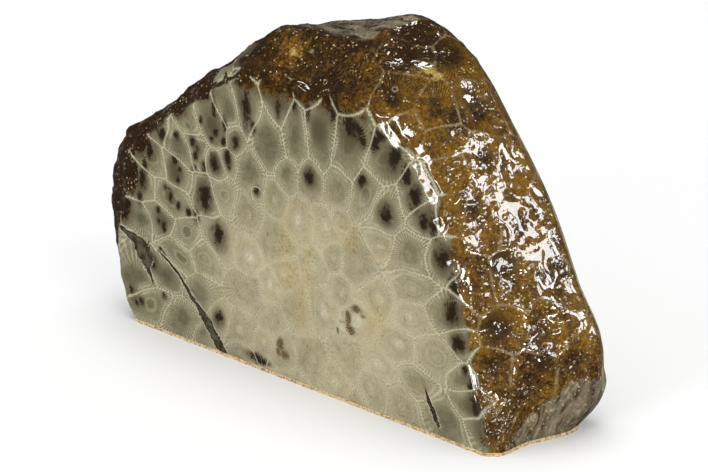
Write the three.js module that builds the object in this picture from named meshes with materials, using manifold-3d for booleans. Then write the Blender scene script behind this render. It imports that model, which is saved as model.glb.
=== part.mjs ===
// Petoskey stone: a slab of fossil coral, cut flat and polished on the front and the back,
// natural all round the edge, standing on a thin cork sheet cut to its footprint.
// Millimetres, +Z up. The front face looks toward -Y, +X runs along it to the right.
// Origin: the middle of the bounding box, on the underside of the cork.
import * as THREE from "three";
import * as BufferGeometryUtils from "three/addons/utils/BufferGeometryUtils.js";
import Module from "manifold-3d";

const wasm = await Module();
wasm.setup();

// The two polished faces, the cork and the cutting block
const FRONT_Y = -18;
const BACK_Y = 18;
const CORK_THICKNESS = 1.5;
const BLOCK_WIDTH = 200;
const BLOCK_HEIGHT = 120;

// Fineness of the natural skin: steps round the edge, and slices between neighbouring outlines
const AROUND = 216;
const SLICES = [1, 2, 5, 7, 6, 1];

// Outlines of the stone as [x, z], from the lower left corner up and over to the right.
// Each holds the same features in the same order. All run on below the base and are cut there.
const FACE = [
  [-54, -10], [-68.5, 16], [-65, 34], [-61.5, 49], [-45, 61.5], [-27, 72.5], [-15, 79], [4, 76.5],
  [20, 78], [34, 70.5], [44, 61], [50.5, 46], [54, 30], [58.5, 15], [59, -10], [1, -16],
];
const SHOULDER = [
  [-55, -9], [-71, 16], [-74.5, 35], [-68, 51], [-53, 62], [-35, 72.5], [-20, 80.5], [3, 79],
  [21, 81], [35, 74.5], [46, 64.5], [52.5, 49], [57.5, 33], [62.5, 15], [60, -9], [1, -15],
];
const MIDDLE = [
  [-56, -8], [-69, 17], [-73, 35], [-67, 51], [-50, 64.5], [-33, 76.5], [-18, 86], [4, 87.5],
  [21, 88.5], [36, 80.5], [48, 67.5], [56, 51], [65, 34], [68, 17], [57, -8], [1, -12],
];
const BELLY = [
  [-56, -4], [-65, 16], [-68, 34], [-64, 50], [-49, 64], [-35, 75.5], [-19, 84.5], [1, 90],
  [17, 93.2], [33, 86], [46.5, 70.5], [57.5, 54.5], [66.5, 38], [75, 21], [60, -5], [1, -5],
];
const REAR = [
  [-44, 9], [-55, 18], [-58, 33], [-54, 48], [-42, 60], [-30, 71], [-16, 78.5], [0, 83],
  [14, 85.5], [27.5, 78.5], [39.5, 65], [50.5, 48.5], [58.5, 33.5], [67, 19], [65.5, 7.5], [1, 9],
];

// Where each outline stands. The first and last lie in the stone lost to the saw.
const OUTLINES = [
  { y: -24, points: FACE, scale: 0.97 },
  { y: FRONT_Y, points: FACE, scale: 1 },
  { y: -14.5, points: SHOULDER, scale: 1 },
  { y: -6, points: MIDDLE, scale: 1 },
  { y: 8, points: BELLY, scale: 1 },
  { y: BACK_Y, points: REAR, scale: 1 },
  { y: 24, points: REAR, scale: 0.85 },
];
const MIDDLE_HEIGHT = 35;

// The colony grew outward from one point behind the base, so every coral tube is a ray from it
const COLONY = new THREE.Vector3(-2, 27, 25);

// Mouths of the larger coral cups on the right side and over the shoulder
const CUPS = [
  [28.5, -14, 79], [38, -10, 76.5], [42.5, -11.5, 71], [34.5, -16, 73], [46.5, -14, 64.5],
  [42.5, 0, 76.5], [48.5, -5, 67], [48.5, -16, 55.5], [52.5, -10, 54.5], [57, -1, 52.5],
  [52, 3, 63.5], [55.5, -14.5, 39], [61.5, -8, 40], [61.5, -11.5, 30], [67.5, -3.5, 29],
  [61, -14, 20.5], [67.5, -8, 19], [66, 3, 40], [73.5, 2, 20],
];

// The rest of the cups: a golden-angle spiral of rays over the outer side of the colony
const RAY_COUNT = 270;
const RAY_REACH = 1.15;
const RAY_SCATTER = 0.055;
const RAY_SPACING = 0.17;
const RAY_CLEARANCE = 0.13;

// Relief of the skin
const CUP_DEPTH_LOW = 2.8;
const CUP_DEPTH_HIGH = 1.4;
const CUP_RIM = 0.35;
const HOLLOW = { at: new THREE.Vector3(27, -2, 89.5), long: 8, wide: 4.5, depth: 3.2 };
const LUMP = { at: new THREE.Vector3(-12, -9, 85), long: 9, wide: 8, depth: -1.6 };
const ROUGHNESS = 0.55;
const LUMPINESS = 0.4;

const GOLDEN_ANGLE = Math.PI * (3 - Math.sqrt(5));

function smooth(from, to, value) {
  return THREE.MathUtils.smoothstep(value, from, to);
}

// A repeatable scatter value from 0 to 1
function scatter(index, salt) {
  const wave = Math.sin(index * 12.9898 + salt * 78.233) * 43758.5453;
  return wave - Math.floor(wave);
}

function closedCurve(outline) {
  const points = outline.points.map(([x, z]) => new THREE.Vector3(
    x * outline.scale,
    outline.y,
    MIDDLE_HEIGHT + (z - MIDDLE_HEIGHT) * outline.scale,
  ));
  return new THREE.CatmullRomCurve3(points, true, "catmullrom", 0.5);
}

const CURVES = OUTLINES.map(closedCurve);

// A point of the natural skin: `turn` runs 0 to 1 round the edge, `depth` 0 to 1 front to back
function skinPoint(turn, depth) {
  const across = CURVES.map((curve) => curve.getPoint(turn));
  return new THREE.CatmullRomCurve3(across, false, "catmullrom", 0.5).getPoint(depth);
}

function rayThrough(point) {
  return point.clone().sub(COLONY).normalize();
}

function coralRays() {
  const rays = CUPS.map(([x, y, z]) => rayThrough(new THREE.Vector3(x, y, z)));
  for (let k = 0; k < RAY_COUNT; k += 1) {
    const forward = 1 - RAY_REACH * (k + 0.5) / RAY_COUNT;
    const side = Math.sqrt(1 - forward * forward);
    const turn = k * GOLDEN_ANGLE;
    const ray = new THREE.Vector3(
      side * Math.cos(turn) + RAY_SCATTER * (scatter(k, 1) - 0.5),
      -forward + RAY_SCATTER * (scatter(k, 2) - 0.5),
      side * Math.sin(turn) + RAY_SCATTER * (scatter(k, 3) - 0.5),
    ).normalize();
    if (rays.every((other) => other.angleTo(ray) > RAY_CLEARANCE)) {
      rays.push(ray);
    }
  }
  return rays;
}

const RAYS = coralRays();

// 0 on the wall between two coral tubes, rising to about 1 in the middle of a tube
function wallDistance(point) {
  const ray = rayThrough(point);
  let nearest = Infinity;
  let second = Infinity;
  for (const other of RAYS) {
    const angle = Math.acos(THREE.MathUtils.clamp(ray.dot(other), -1, 1));
    if (angle < nearest) {
      second = nearest;
      nearest = angle;
    } else if (angle < second) {
      second = angle;
    }
  }
  return (second - nearest) / RAY_SPACING;
}

// A long low bump, or a hollow when its depth is positive
function dent(point, shape) {
  const along = (point.x - shape.at.x) / shape.long;
  const across = Math.hypot(point.y - shape.at.y, point.z - shape.at.z) / shape.wide;
  return shape.depth * Math.exp(-along * along - across * across);
}

function waves(point, size) {
  return Math.sin(point.x / size + 1.3 * Math.sin(point.z / size))
    * Math.sin(point.z / size + 1.1 * Math.sin(point.y / size) + 0.7)
    + 0.5 * Math.sin(point.y / size * 1.7 + point.x / size * 0.6);
}

// How far the skin stands out from the smooth form
function relief(point) {
  const overBase = smooth(CORK_THICKNESS + 0.5, 7, point.z);
  const broken = smooth(-8, -30, point.x);
  const layered = smooth(0, 5, point.y) * smooth(78, 86, point.z);
  const cupped = smooth(6, 16, point.z) * (1 - 0.75 * broken) * (1 - 0.8 * layered);
  const wall = wallDistance(point);
  const depth = THREE.MathUtils.lerp(CUP_DEPTH_LOW, CUP_DEPTH_HIGH, smooth(24, 66, point.z));
  const cup = CUP_RIM * (1 - smooth(0, 0.25, wall)) - depth * smooth(0, 0.85, wall);
  const rough = waves(point, 2.6) * ROUGHNESS * (0.2 + broken) + waves(point, 6.5) * LUMPINESS * (0.5 + broken);
  const marks = dent(point, HOLLOW) + dent(point, LUMP);
  return overBase * (cup * cupped + depth * 0.35 * cupped + rough - marks);
}

// Depth setting of every slice, from the first outline to the last
function sliceDepths() {
  const depths = [0];
  SLICES.forEach((count, gap) => {
    for (let k = 1; k <= count; k += 1) {
      depths.push((gap + k / count) / SLICES.length);
    }
  });
  return depths;
}

const DEPTHS = sliceDepths();

// The whole stone as nature left it, before the two faces and the base were cut
function naturalStone() {
  const slices = DEPTHS.length - 1;
  const geometry = new THREE.CylinderGeometry(1, 1, 1, AROUND, slices);
  const position = geometry.attributes.position;
  const corner = new THREE.Vector3();
  for (let i = 0; i < position.count; i += 1) {
    corner.fromBufferAttribute(position, i);
    const onSkin = Math.hypot(corner.x, corner.z) > 0.5;
    const depth = DEPTHS[Math.round((0.5 - corner.y) * slices)];
    const step = Math.round(Math.atan2(corner.x, corner.z) / (2 * Math.PI) * AROUND);
    const turn = (AROUND - step) % AROUND;
    const point = skinPoint(onSkin ? turn / AROUND : 0, depth);
    if (onSkin) {
      point.addScaledVector(rayThrough(point), relief(point));
    } else {
      point.set(0, point.y, MIDDLE_HEIGHT);
    }
    position.setXYZ(i, point.x, point.y, point.z);
  }
  return geometry;
}

// Where one slice of the skin passes through the height of the cork's top, [left, right] in x
function baseCrossings(depth) {
  const ring = [];
  for (let k = 0; k < AROUND; k += 1) {
    ring.push(skinPoint(k / AROUND, depth));
  }
  const crossings = [];
  ring.forEach((from, k) => {
    const to = ring[(k + 1) % AROUND];
    if ((from.z < CORK_THICKNESS) !== (to.z < CORK_THICKNESS)) {
      crossings.push(from.clone().lerp(to, (CORK_THICKNESS - from.z) / (to.z - from.z)));
    }
  });
  return crossings.sort((one, other) => one.x - other.x);
}

// The cork's outline: the foot of the stone's skin, back to where the stone curves up off its base
function footprint() {
  const sides = DEPTHS.slice(SLICES[0]).map(baseCrossings).filter((found) => found.length === 2);
  const right = sides.map((pair) => new THREE.Vector2(pair[1].x, pair[1].y));
  const left = sides.map((pair) => new THREE.Vector2(pair[0].x, pair[0].y));
  return new THREE.Shape([...right, ...left.reverse()]);
}

function toManifold(geometry) {
  const bare = new THREE.BufferGeometry();
  bare.setAttribute("position", geometry.attributes.position.clone());
  bare.setIndex(geometry.index.clone());
  const merged = BufferGeometryUtils.mergeVertices(bare, 1e-4);
  const vertProperties = new Float32Array(merged.attributes.position.array);
  const triVerts = new Uint32Array(merged.index.array);
  const mesh = new wasm.Mesh({ numProp: 3, vertProperties, triVerts });
  return new wasm.Manifold(mesh);
}

function fromManifold(solid) {
  const mesh = solid.getMesh();
  const geometry = new THREE.BufferGeometry();
  geometry.setAttribute("position", new THREE.Float32BufferAttribute(mesh.vertProperties, 3));
  geometry.setIndex(Array.from(mesh.triVerts));
  geometry.computeVertexNormals();
  return geometry;
}

function cutBlock() {
  const block = new THREE.BoxGeometry(BLOCK_WIDTH, BACK_Y - FRONT_Y, BLOCK_HEIGHT);
  block.translate(0, (FRONT_Y + BACK_Y) / 2, CORK_THICKNESS + BLOCK_HEIGHT / 2);
  return block;
}

const stoneGeometry = fromManifold(toManifold(naturalStone()).intersect(toManifold(cutBlock())));
const stone = new THREE.Mesh(
  stoneGeometry,
  new THREE.MeshStandardMaterial({ color: 0x9a9474, roughness: 0.2, metalness: 0 }),
);
stone.name = "stone";

const corkGeometry = new THREE.ExtrudeGeometry(footprint(), {
  depth: CORK_THICKNESS,
  bevelEnabled: false,
});
const corkPad = new THREE.Mesh(
  corkGeometry,
  new THREE.MeshStandardMaterial({ color: 0xb98d55, roughness: 0.9, metalness: 0 }),
);
corkPad.name = "cork_pad";

const part = new THREE.Group();
part.name = "petoskey_stone";
part.add(stone, corkPad);

export default part;
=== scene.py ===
"""Petoskey stone: a slab of fossil coral, polished front and back, on a thin cork sheet.

Laid out as an add-on and run as a script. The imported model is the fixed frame. Lengths are in metres,
except in the shape tables and the fields of the form, which are in millimetres.
"""
import math

import bmesh
import bpy
import numpy as np
from bpy.props import FloatProperty, FloatVectorProperty, IntProperty, PointerProperty
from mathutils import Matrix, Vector, noise


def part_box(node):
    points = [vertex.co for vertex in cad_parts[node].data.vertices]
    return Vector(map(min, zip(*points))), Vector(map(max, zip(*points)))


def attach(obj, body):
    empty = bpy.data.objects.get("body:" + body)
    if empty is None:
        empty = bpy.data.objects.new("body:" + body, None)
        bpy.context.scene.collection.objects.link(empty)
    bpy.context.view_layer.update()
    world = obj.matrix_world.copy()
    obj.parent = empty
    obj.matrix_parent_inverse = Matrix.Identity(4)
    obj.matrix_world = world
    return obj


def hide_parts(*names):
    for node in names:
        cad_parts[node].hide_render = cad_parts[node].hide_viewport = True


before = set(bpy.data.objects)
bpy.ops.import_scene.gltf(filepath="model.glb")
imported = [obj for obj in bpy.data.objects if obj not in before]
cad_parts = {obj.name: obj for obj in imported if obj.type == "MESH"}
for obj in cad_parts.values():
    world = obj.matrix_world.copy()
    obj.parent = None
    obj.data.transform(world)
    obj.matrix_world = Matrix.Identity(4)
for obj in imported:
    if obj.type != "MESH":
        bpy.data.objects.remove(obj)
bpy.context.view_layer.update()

bl_info = {
    "name": "Petoskey Stone",
    "version": (1, 0, 0),
    "blender": (4, 5, 0),
    "location": "View3D > Sidebar > Stone",
    "description": "Makes a polished fossil coral stone with its natural rind and cork sheet",
    "category": "Add Mesh",
}

MM = 0.001
STONE_LOW, STONE_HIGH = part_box("stone")
CORK_LOW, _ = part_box("cork_pad")
FRONT_Y = STONE_LOW.y / MM
BACK_Y = STONE_HIGH.y / MM
# The stone's flat base, on top of the cork
BASE_Z = 0.9
TINY = 1e-6
# Factors of the repeatable scatter
SCATTER = (12.9898, 78.233, 43758.5453)

# ---- The stone's form, in millimetres ----

# Outlines as (x, z), from the lower left corner up and over to the right, the same features in the
# same order. All but the rear one run on below the base and are cut there.
FACE = (
    (-54, -10), (-68.5, 16), (-65, 34), (-61.5, 49), (-45, 61.5), (-27, 72.5), (-15, 79), (4, 76.5),
    (20, 78), (34, 70.5), (44, 61), (50.5, 46), (54, 30), (58.5, 15), (59, -10), (1, -16),
)
SHOULDER = (
    (-55, -9), (-71, 16), (-74.5, 35), (-68, 51), (-53, 62), (-35, 72.5), (-20, 80.5), (3, 79),
    (21, 81), (35, 74.5), (46, 64.5), (52.5, 49), (57.5, 33), (62.5, 15), (60, -9), (1, -15),
)
MIDDLE = (
    (-56, -8), (-69, 17), (-73, 35), (-67, 51), (-50, 64.5), (-33, 76.5), (-18, 86), (4, 87.5),
    (21, 88.5), (36, 80.5), (48, 67.5), (56, 51), (65, 34), (68, 17), (57, -8), (1, -12),
)
BELLY = (
    (-56, -4), (-65, 16), (-68, 34), (-64, 50), (-49, 64), (-35, 75.5), (-19, 84.5), (1, 90),
    (17, 93.2), (33, 86), (46.5, 70.5), (57.5, 54.5), (66, 38), (74, 21), (60, -5), (1, -5),
)
REAR = (
    (-44, 9), (-55, 18), (-58, 33), (-54, 48), (-42, 60), (-30, 71), (-16, 78.5), (0, 83),
    (14, 85.5), (27.5, 78.5), (39.5, 65), (50.2, 48.5), (57.7, 33.5), (64.6, 19), (63.4, 7.5), (1, 9),
)
MIDDLE_POINT = np.array((0.0, 35.0))

# Where each outline stands, and its scale about the middle point. The first and last lie in the
# stone lost to the saw.
RINGS = (
    (FRONT_Y - 6, FACE, 0.97), (FRONT_Y, FACE, 1), (-14.5, SHOULDER, 1), (-6, MIDDLE, 1),
    (8, BELLY, 1), (BACK_Y, REAR, 1), (BACK_Y + 6, REAR, 0.85),
)
# How many places along the loft are looked at to find a depth
RING_SAMPLES = 601

# Which stretch of the outlines each side of the square block is laid along, counted in points
LEFT_SPAN = (0.35, 3.3)
TOP_SPAN = (3.3, 9.7)
RIGHT_SPAN = (9.7, 13.6)
BOTTOM_SPAN = (13.6, 16.35)

# How much closer the block's steps lie towards the rim, and towards the polished faces
RIM_CROWDING = 0.35
FACE_CROWDING = 0.5
ROUNDING_PASSES = 6
# A face with at least this many corners is the flat cut underneath
CUT_CORNERS = 20

# ---- The coral's cells ----

# The colony grew outward from one point low behind the stone, so every coral tube is a ray from it.
# The back face shows the tubes of the neighbouring colony, which started farther off.
COLONY = np.array((-2.0, 27.0, 25.0))
BACK_COLONY = np.array((18.0, BACK_Y - 42.0, 50.0))

# Tube mouths on the polished front face as (x, z, size), the size 1 for a usual cell
FACE_CELLS = (
    (-60, 30.5, .7), (-63, 13, 1), (-55, 48, 1), (-60, 40, 1), (-53, 57, 1), (-46, 46, 1),
    (-48, 38, 1.15), (-52, 32, .9), (-42, 30, 1), (-44, 23, 1), (-50, 17, 1), (-36, 25, 1.1),
    (-37, 15, 1), (-45, 6, 1), (-57, 7, .9), (-36, 4, .6), (-30, 10, .9), (-30, 32, 1.15),
    (-35, 42, 1), (-27, 44, 1), (-30.5, 51, .75), (-25.5, 53.5, .65), (-38, 55, 1), (-45, 54, 1),
    (-31, 61, 1), (-22.5, 60, .8), (-18, 68, 1.1), (-25, 67, .9), (-11, 62, 1.3), (-17, 52, 1.1),
    (-15, 48, .5), (-4.5, 54.5, .7), (-9, 48, .9), (-7, 72, 1), (-1, 65, 1.2), (-41, 60, .9),
    (-19, 41, 1), (-18, 30, 1), (-20, 20, 1), (-22, 9, 1), (-13, 8, .65), (-6, 7, .8),
    (-10.5, 24, .95), (-10, 15, .8), (-22, 3, .7), (-9, 36, 1.1),
    (8, 67, 1.2), (4.5, 55, .75), (18, 67, 1.2), (14, 55, 1), (23, 55, 1), (30, 52, 1.1),
    (14, 47, .7), (21, 38, 1.1), (10, 44, 1), (5, 33, .9), (12, 37, .7), (0, 44, 1), (30, 66, 1),
    (39, 59, 1), (43, 54, .9), (48, 46, 1), (38, 44, 1.2), (38, 36, 1), (51, 32, 1), (53.5, 26, .8),
    (47, 20, 1.1), (54, 17.5, .8), (58, 11, .9), (38, 28, 1), (34, 21, 1), (20.5, 22.5, 1),
    (9, 22, 1), (17, 13, 1), (28, 13.5, 1), (26, 6, .8), (36, 5, 1), (5, 8, 1), (0, 20, .9),
    (49, 7, 1.1), (64, 6, 1), (42, 12, .9), (28, 30, 1), (28, 44, .9), (15, 29, .8),
)

# Mouths of the larger cups on the right side and over the shoulder, as (x, y, z)
SIDE_CELLS = (
    (28.5, -14, 79), (38, -10, 76.5), (42.5, -11.5, 71), (34.5, -16, 73), (46.5, -14, 64.5),
    (42.5, 0, 76.5), (48.5, -5, 67), (48.5, -16, 55.5), (52.5, -10, 54.5), (57, -1, 52.5),
    (52, 3, 63.5), (55.5, -14.5, 39), (61.5, -8, 40), (61.5, -11.5, 30), (67.5, -3.5, 29),
    (61, -14, 20.5), (67.5, -8, 19), (66, 3, 40), (73.5, 2, 20),
)

# The rest of the tubes: a golden-angle spiral of rays, kept where there is room for them
RAY_COUNT = 270
RAY_REACH = 1.15
RAY_SCATTER = 0.055
RAY_SPACING = 0.17
RAY_CLEARANCE = 0.13
GOLDEN_ANGLE = math.pi * (3 - math.sqrt(5))

# How many of the nearest cells each corner is placed in, and how many spokes stand round a cell
CELL_LAYERS = 3
SEPTA = 42.0
# The least cosine between a direction and a ray, so that none is divided by zero
LEAST_FACING = 0.02
DIRECTIONS_AT_ONCE = 8192
# How far the walls between the tubes swing to and fro, and over what length
WALL_SWING = 1.1
WALL_SWING_SIZE = 7

# ---- Marks on the polished front face ----

# Each as (x, z, half width, half height)
DARK_SPOTS = (
    (-30, 10, 1.7, 2), (-29.5, 32.5, 2.4, 3.2), (-34.5, 42, 2.6, 3.6), (-30.5, 51.5, 1.7, 2.2),
    (-25.5, 54, 1.2, 2.6), (-26.5, 62.5, .8, 2.4), (-22.5, 59, 1.2, 1.8), (-18.5, 69, 1.5, 5),
    (-16, 64, 1, 1.4), (-15, 48, 1.2, 1.2), (-46, 49, 1.1, 1.3), (-44, 47, .8, 1), (-45, 44, 1, 1.4),
    (-48, 39, .9, 1.7), (-50, 41, .7, .9), (-45, 37, .8, 1), (-41, 36, .9, 1.2), (-38, 36, 1.1, 2),
    (-53, 34, .8, 1), (-51, 30, 1, 1.6), (-53, 31, .7, .9), (-39, 56, 1.1, 1.5), (-38, 52, .9, 1.2),
    (-37, 54, .7, .8), (-38.5, 48.5, .9, 1), (-34.5, 49.5, 1, 1.6), (-45, 56, 1, 1),
    (-30.5, 66, .9, 2.6), (-35.5, 62, .8, 1), (-30, 60, 1, 1.4), (-31.5, 58, .9, 1), (-27, 58, .9, 1.2),
    (-56, 50, 1.4, 2.8), (-59, 41.5, 1.5, 3), (-55, 57, 2.4, 2.2), (-51.5, 10.5, .8, .9),
    (-60.5, 36, 1.2, 2), (-58, 45, 1, 2.6), (-50.5, 55, 1.6, 2),
    (4, 55.5, 1.7, 1.9), (-7, 71, 1, 3), (-1, 74, 1.5, 3), (3.5, 73, 1, 3.4),
    (18, 72, 2.8, 3), (22, 68.5, 1.6, 1.8), (21, 71, 1.6, 1.6), (13, 74, 2.4, 3), (22, 58.5, 1.6, 1.8),
    (30, 52, 2.1, 2.4), (33, 67, 2.2, 4), (28, 71.5, 2, 2.2), (39.5, 58, 2, 3.2), (42.5, 53, 1.4, 2.2),
    (46, 53, 1.8, 3), (48.5, 45.5, 2.6, 3), (52, 39.5, 1.6, 3.4), (51.5, 33, 1.8, 3.2),
    (53.8, 26, 1.9, 2.4),
    (60, 12, 2.4, 3.6), (58.5, 16.5, 1.4, 2.2), (64, 5, 2.6, 2.2), (56, 20, 1, 1.6),
    (-16.5, 3.2, 2.6, 1.1), (-13.5, 2.4, 2.2, 1), (-52.6, 23.4, .6, .6), (-51, 22.4, .5, .6),
    (-56, 19, 1.8, 2.2), (-64.9, 8.4, 1, 1.5), (-60.9, 6.6, 1, 1.2), (-63, 5.5, .8, .8),
    (36.5, 63, 2, 2.4), (26.5, 69, 1.8, 2.4),
)
BROWN_CLOUDS = (
    (-57, 52, 6, 7), (-61, 40, 3.5, 8), (-19, 70, 4, 7), (-5, 73, 7, 5), (7, 68.5, 3.4, 4.2),
    (18, 70, 6, 6), (33, 66, 6, 7), (45, 54, 4, 6), (50, 45, 4, 4), (62, 10, 5, 9), (-64, 7, 4, 4),
    (-31, 62, 4, 6), (-46, 46, 4, 6), (30, 52, 4, 4), (54, 34, 3, 9),
)
RIND_PATCHES = (
    (-19, 78.5, 6, 5), (-10, 79.5, 8, 6), (0, 79, 8, 5.5), (10, 80, 8, 6), (20, 80, 7, 6.5),
    (28, 77, 4, 4.5), (-65, 43, 4, 7), (-61, 53, 5, 5), (-55, 60, 5, 3.5), (-47, 64, 5, 3),
    (-68, 33, 3.5, 5), (-36, 70, 5, 2.5),
)
# Spots on the rind, as (x, y, z, reach): yellow clay, dark brown patches that also hold painted shade in
# the top hollow and in cups, and bare pale coral
CLAY_SPOTS = (
    (30.6, -5, 85, 2.2), (32.8, -4, 83.6, 2), (-7.5, -11.8, 83.4, 1.5), (-5.4, -11.4, 82.6, 1.3),
    (27, -11, 80, 1.5), (-22, -9, 84.5, 1.6),
)
SHADOW_SPOTS = (
    (19, 0, 90, 5), (24, 0, 88.5, 6.5), (28, 2, 87.5, 6), (23, -4, 87, 4.5), (61.5, -13, 8, 7),
    (60, -16, 13, 4), (61, -13, 30, 4.5), (-20, -14, 82, 4.5), (-17, -16, 77, 4), (5, -16, 77.5, 4),
    (11, -16, 77, 4),
    (47, -4, 66, 3.5), (58, -8, 44, 4), (68, -5, 22, 3.5), (52, -12, 58, 3),
)
BARE_SPOTS = (
    (-27, -13, 77, 4.2), (-25.5, -11, 80, 4), (-31, -15, 74.5, 3.2), (-23.5, -11, 82, 3),
    (-24, -16, 76, 3.5),
)
RUST_SPOTS = (
    (-7, 9.3, 1.3, 1.9), (-5.2, 6.6, 1.6, 1.3), (-7.4, 6.9, 1, 1.3), (20, 25.6, 1.9, 1.1),
    (17.4, 22.4, 1.1, 2.4), (18.4, 19.6, 1.4, 1.3), (15, 21, .6, .7), (13.6, 18.5, .6, .9),
    (22.5, 24.4, .9, .8),
)
OCHRE_STREAKS = (
    (-5, 36, 2.5, 7), (-2.5, 29, 2.5, 7), (0.5, 22, 2.5, 7), (3.5, 31, 2, 7),
    (17.5, 43, 3.5, 3.5), (27, 25, 3, 5),
)

# Cracks as (x, z, half width), each run smoothly through its points
CRACKS = (
    ((-54, 23, .1), (-50, 21, .3), (-46, 18.5, .4), (-42, 14.5, .55), (-38.5, 11.6, .6),
     (-36.5, 9.6, 1.1), (-34.8, 8, 1.4), (-33, 6, 1.3), (-31, 3.5, 1.5), (-28.5, 1, 1.3)),
    ((-69, 25.6, .5), (-66.5, 25, .9), (-63, 23.8, 1.4), (-60.2, 22, 2.9), (-58.6, 19.6, 3),
     (-58.4, 16.8, .9), (-57, 15, .5), (-56, 13, .15)),
    ((43.2, 11.5, .1), (44.6, 9, .6), (46, 6.4, .8), (47.6, 3.4, .6)),
    ((-33, 70.5, .1), (-30, 72.2, .35), (-27.5, 73.6, .5), (-25, 74.6, .35), (-21.5, 76.6, .6),
     (-19, 78, .3)),
)

# ---- Relief of the natural skin ----

# How deep the cups are low on the stone and high on it, and how far the walls between them stand out
CUP_DEPTH_LOW = 2.8
CUP_DEPTH_HIGH = 1.4
CUP_RIM = 0.15
HOLLOW = {"at": (25, 1, 90), "long": 7, "wide": 4, "depth": 3.6}
LUMP = {"at": (-12, -9, 85), "long": 9, "wide": 8, "depth": -2.1}
ROUGHNESS = 0.55
LUMPINESS = 0.4
# How much fuller the form is at the left end, at the rear on the right, and over the foot
LEFT_FILL = 1.7
REAR_FILL = 0.7
FOOT_FILL = 0.7

# Chips along the upper right rim, as (x, z, reach), and how wide the polish ran over them
RIM_CHIPS = (
    (30.5, 72.5, 4), (33, 70, 3), (41, 65, 3.5), (43.5, 61.5, 4.5), (46.5, 54.5, 3.2), (50, 46, 2),
)
CHIP_WIDTH = 2.2
CHIP_SLOPE = 0.6

# Beads of lacquer scattered over the right side: the middle (x, y, z) and reach of each patch, and
# how many beads it has
BEAD_PATCHES = (
    ((58, -2, 48), 11, 26), ((52, -6, 60), 8, 14), ((60, -10, 34), 7, 12), ((45, -12, 66), 6, 8),
    ((62, -14, 11), 5, 10), ((66, -4, 27), 8, 9),
)
BEAD_WIDTH = 1.0

# Where the lacquer stands in smooth pools on the right side, as (x, y, z, reach)
POOLS = (
    (45, -2, 63.5, 5), (48.5, 2, 60, 4), (49.5, -1, 55, 5), (52.5, 2, 52, 5), (55, 4, 46, 6.5),
    (58, 5, 40.5, 5), (60.5, 5, 36, 5), (46, -9, 67, 3), (62, 12, 30, 4), (56, 12, 45, 4),
    (52, -5, 60.5, 4.5), (55, -3, 55, 4.5), (57.5, -1, 51, 5.5), (61, -1, 45.5, 5.5), (64, 1, 40, 4),
)
# One large drop of lacquer that hangs on the rim, as (x, y, z)
RIM_DROP = (46.4, -17.4, 54)
RIM_DROP_WIDTH = 1.7

# Single beads along the rim and down the largest pool, as (x, y, z, width)
LONE_BEADS = (
    (46.8, -16.6, 53, 1.5), (50.5, -16.5, 43, 1.5), (54.5, -16.5, 31, 1.5), (56.2, -2.8, 52.8, 1.1),
    (57.9, 0.6, 51.6, 1.3), (58.1, -2, 49.2, 1.2), (56.4, -5.4, 50.9, 1.4), (59.6, -0.6, 47.4, 1.1),
)


def shade(red, green, blue):
    """A linear colour from the usual 0 to 255 values."""
    parts = [value / 255 for value in (red, green, blue)]
    return tuple(part / 12.92 if part < 0.04045 else ((part + 0.055) / 1.055) ** 2.4 for part in parts)


def colour_property(name, description, red, green, blue):
    return FloatVectorProperty(
        name=name, description=description, subtype="COLOR", size=3, min=0, max=1,
        default=shade(red, green, blue),
    )


class StoneProperties(bpy.types.PropertyGroup):
    """Sizes and colours of the stone."""

    columns: IntProperty(
        name="Columns", description="Mesh steps across the stone", default=164, min=20, max=240)
    rows: IntProperty(
        name="Rows", description="Mesh steps up the stone", default=130, min=20, max=200)
    layers: IntProperty(
        name="Layers", description="Mesh steps from front to back", default=84, min=10, max=100)
    edge_rounding: FloatProperty(
        name="Edge Rounding", description="How far the polished faces round over into the rind",
        default=1.3 * MM, min=0, max=4 * MM, unit="LENGTH")
    lump_height: FloatProperty(
        name="Lump Height", description="Height of the small lumps under the lacquer",
        default=0.34 * MM, min=0, max=1 * MM, unit="LENGTH")
    bead_height: FloatProperty(
        name="Bead Height", description="Height of the beads of lacquer on the right side",
        default=0.75 * MM, min=0, max=2 * MM, unit="LENGTH")
    gloss_roughness: FloatProperty(
        name="Gloss Roughness", description="Roughness of the clear lacquer", default=0.04, min=0, max=1)
    olive: colour_property("Olive", "Middle of the polished cells", 98, 94, 70)
    pale: colour_property("Pale", "Outer part of the polished cells", 125, 120, 93)
    milk: colour_property("Milk", "Washed-out middle of the face", 162, 154, 124)
    cream: colour_property("Cream", "Walls between the polished cells", 180, 174, 148)
    blush: colour_property("Blush", "Warm tint in the middle of the face", 182, 160, 124)
    ochre: colour_property("Ochre", "Yellow streaks in the middle of the face", 180, 160, 100)
    mud: colour_property("Mud", "Brown tint round the mud-filled cells", 78, 66, 44)
    stain: colour_property("Stain", "Mud-filled cells and cracks", 34, 25, 13)
    rust: colour_property("Rust", "Rusty spots on the face", 74, 53, 22)
    gold: colour_property("Gold", "Lit fibres of the rind", 117, 85, 14)
    brown: colour_property("Brown", "Body of the rind", 80, 52, 7)
    # Deep brown is also painted as shade into the bottoms of the cups and the hollows
    deep: colour_property("Deep Brown", "Hollows of the rind", 40, 24, 4)
    broken: colour_property("Broken Rind", "Dark broken rind on the left", 49, 33, 19)
    layered: colour_property("Layered Rind", "Grey layered rind on top", 118, 108, 86)
    clay: colour_property("Clay", "Yellow clay on the rind", 168, 140, 72)


class CorkProperties(bpy.types.PropertyGroup):
    """Sizes and colours of the cork sheet."""

    crumble: FloatProperty(
        name="Crumble", description="How far the cut edge of the cork wanders",
        default=0.25 * MM, min=0, max=1 * MM, unit="LENGTH")
    light: colour_property("Light Cork", "Light grains", 222, 196, 150)
    dark: colour_property("Dark Cork", "Dark grains", 150, 118, 76)


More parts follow.
